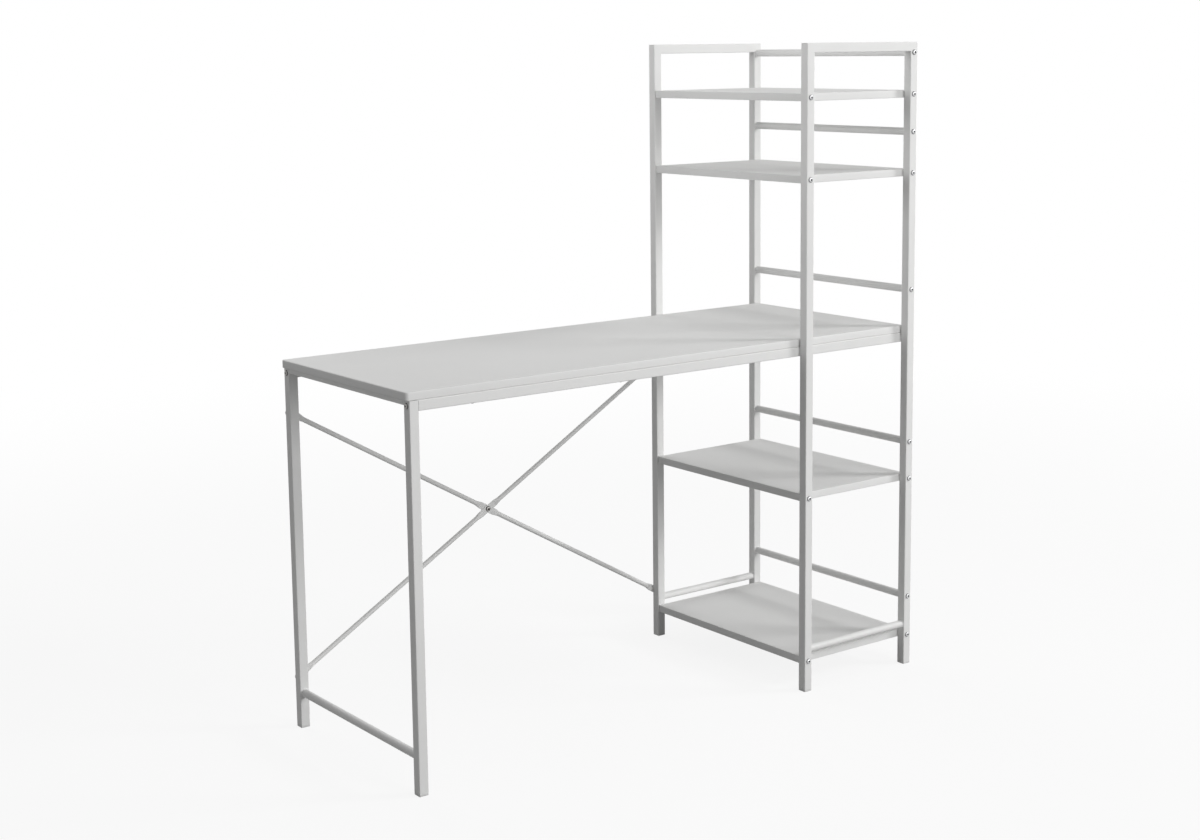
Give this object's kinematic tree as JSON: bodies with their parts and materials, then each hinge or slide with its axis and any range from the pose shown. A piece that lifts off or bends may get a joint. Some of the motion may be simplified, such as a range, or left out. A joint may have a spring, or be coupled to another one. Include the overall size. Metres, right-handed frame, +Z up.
{
  "type": "computer desk",
  "caption": "Computer desk with a shelf tower at one end: white square-tube frames, laminate boards, round guard bars beside the shelves and a crossed brace at the back.",
  "frame": {"origin": "on the floor, under the middle of the whole desk", "axes": "+X along the desk from the leg frame to the shelf tower, +Y from the user's side to the back, +Z up"},
  "size_m": [1.27, 0.5292, 1.37],
  "materials": {
    "white_steel": "satin white powder coat",
    "white_laminate": "matt white laminate on particle board",
    "white_plastic": "matt moulded white",
    "zinc_steel": "zinc plated",
    "dark_steel": "black oxide"
  },
  "bodies": {
    "root": {"back_rail": "white_steel", "back_rail_cap": "white_plastic", "bottom_shelf": "white_laminate", "brace_bar_falling": "white_steel", "brace_bar_rising": "white_steel", "brace_bolts": "dark_steel", "brace_nuts": "zinc_steel", "desktop": "white_laminate", "desktop_screws": "dark_steel", "foot_cap_leg_back": "white_plastic", "foot_cap_leg_front": "white_plastic", "foot_cap_tower_back_left": "white_plastic", "foot_cap_tower_back_right": "white_plastic", "foot_cap_tower_front_left": "white_plastic", "foot_cap_tower_front_right": "white_plastic", "front_rail": "white_steel", "front_rail_cap": "white_plastic", "guard_bar_bottom": "white_steel", "guard_bar_desk": "white_steel", "guard_bar_lower": "white_steel", "guard_bar_middle": "white_steel", "guard_bar_top": "white_steel", "guard_bolts": "zinc_steel", "guard_plugs": "zinc_steel", "leg_back_post": "white_steel", "leg_front_post": "white_steel", "leg_lower_bar": "white_steel", "leg_rail_screws": "dark_steel", "leg_top_rail": "white_steel", "lower_shelf": "white_laminate", "middle_shelf": "white_laminate", "rail_leg_bolts": "dark_steel", "rail_plugs": "zinc_steel", "rail_tower_bolts": "zinc_steel", "rail_tower_nuts": "zinc_steel", "shelf_bolts": "zinc_steel", "shelf_inserts": "zinc_steel", "top_shelf": "white_laminate", "tower_back_left_post": "white_steel", "tower_back_lower_bar": "white_steel", "tower_back_right_post": "white_steel", "tower_back_top_tube": "white_steel", "tower_front_left_post": "white_steel", "tower_front_lower_bar": "white_steel", "tower_front_right_post": "white_steel", "tower_front_top_tube": "white_steel"}
  },
  "joints": []
}
